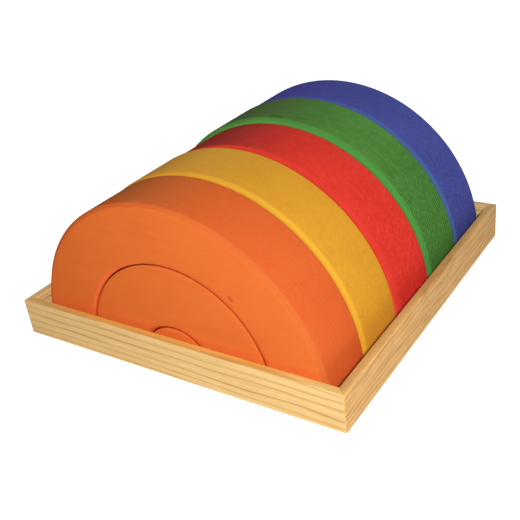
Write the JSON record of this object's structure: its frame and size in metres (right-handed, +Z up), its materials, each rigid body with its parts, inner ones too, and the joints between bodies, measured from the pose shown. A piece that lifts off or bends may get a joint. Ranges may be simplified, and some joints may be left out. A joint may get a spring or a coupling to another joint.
{
  "type": "rainbow stacker",
  "caption": "Wooden stacking toy: nested half-round blocks in single-colour rows, standing in a shallow mitred pine tray; each block lifts off the smaller one it nests over.",
  "frame": {"origin": "middle of the tray's underside, where it stands", "axes": "+X across the arches to the right, +Y from the orange front row to the blue back row, +Z up"},
  "size_m": [0.219, 0.219, 0.1031],
  "materials": {
    "orange_stain": "transparent stain, satin",
    "yellow_stain": "transparent stain, satin",
    "red_stain": "transparent stain, satin",
    "green_stain": "transparent stain, satin",
    "blue_stain": "transparent stain, satin",
    "pine": "planed, clear oil",
    "plywood": "sanded",
    "brad_steel": "bright"
  },
  "bodies": {
    "tray": {"front_rail": "pine", "back_rail": "pine", "left_rail": "pine", "right_rail": "pine", "floor_panel": "plywood", "floor_brads": "brad_steel"},
    "orange_half_disc": {"orange_half_disc": "orange_stain"},
    "orange_inner_arch": {"orange_inner_arch": "orange_stain"},
    "orange_outer_arch": {"orange_outer_arch": "orange_stain"},
    "yellow_half_disc": {"yellow_half_disc": "yellow_stain"},
    "yellow_inner_arch": {"yellow_inner_arch": "yellow_stain"},
    "yellow_outer_arch": {"yellow_outer_arch": "yellow_stain"},
    "red_half_disc": {"red_half_disc": "red_stain"},
    "red_inner_arch": {"red_inner_arch": "red_stain"},
    "red_outer_arch": {"red_outer_arch": "red_stain"},
    "green_half_disc": {"green_half_disc": "green_stain"},
    "green_inner_arch": {"green_inner_arch": "green_stain"},
    "green_outer_arch": {"green_outer_arch": "green_stain"},
    "blue_half_disc": {"blue_half_disc": "blue_stain"},
    "blue_inner_arch": {"blue_inner_arch": "blue_stain"},
    "blue_outer_arch": {"blue_outer_arch": "blue_stain"}
  },
  "joints": [
    {"name": "orange_row_lift", "type": "slide", "parent": "tray", "child": "orange_half_disc", "axis": [0, 0, 1], "range_m": [0, 0.03]},
    {"name": "orange_inner_lift", "type": "slide", "parent": "orange_half_disc", "child": "orange_inner_arch", "axis": [0, 0, 1], "range_m": [0, 0.032]},
    {"name": "orange_outer_lift", "type": "slide", "parent": "orange_inner_arch", "child": "orange_outer_arch", "axis": [0, 0, 1], "range_m": [0, 0.07]},
    {"name": "yellow_row_lift", "type": "slide", "parent": "tray", "child": "yellow_half_disc", "axis": [0, 0, 1], "range_m": [0, 0.03]},
    {"name": "yellow_inner_lift", "type": "slide", "parent": "yellow_half_disc", "child": "yellow_inner_arch", "axis": [0, 0, 1], "range_m": [0, 0.032]},
    {"name": "yellow_outer_lift", "type": "slide", "parent": "yellow_inner_arch", "child": "yellow_outer_arch", "axis": [0, 0, 1], "range_m": [0, 0.07]},
    {"name": "red_row_lift", "type": "slide", "parent": "tray", "child": "red_half_disc", "axis": [0, 0, 1], "range_m": [0, 0.03]},
    {"name": "red_inner_lift", "type": "slide", "parent": "red_half_disc", "child": "red_inner_arch", "axis": [0, 0, 1], "range_m": [0, 0.032]},
    {"name": "red_outer_lift", "type": "slide", "parent": "red_inner_arch", "child": "red_outer_arch", "axis": [0, 0, 1], "range_m": [0, 0.07]},
    {"name": "green_row_lift", "type": "slide", "parent": "tray", "child": "green_half_disc", "axis": [0, 0, 1], "range_m": [0, 0.03]},
    {"name": "green_inner_lift", "type": "slide", "parent": "green_half_disc", "child": "green_inner_arch", "axis": [0, 0, 1], "range_m": [0, 0.032]},
    {"name": "green_outer_lift", "type": "slide", "parent": "green_inner_arch", "child": "green_outer_arch", "axis": [0, 0, 1], "range_m": [0, 0.07]},
    {"name": "blue_row_lift", "type": "slide", "parent": "tray", "child": "blue_half_disc", "axis": [0, 0, 1], "range_m": [0, 0.03]},
    {"name": "blue_inner_lift", "type": "slide", "parent": "blue_half_disc", "child": "blue_inner_arch", "axis": [0, 0, 1], "range_m": [0, 0.032]},
    {"name": "blue_outer_lift", "type": "slide", "parent": "blue_inner_arch", "child": "blue_outer_arch", "axis": [0, 0, 1], "range_m": [0, 0.07]}
  ]
}
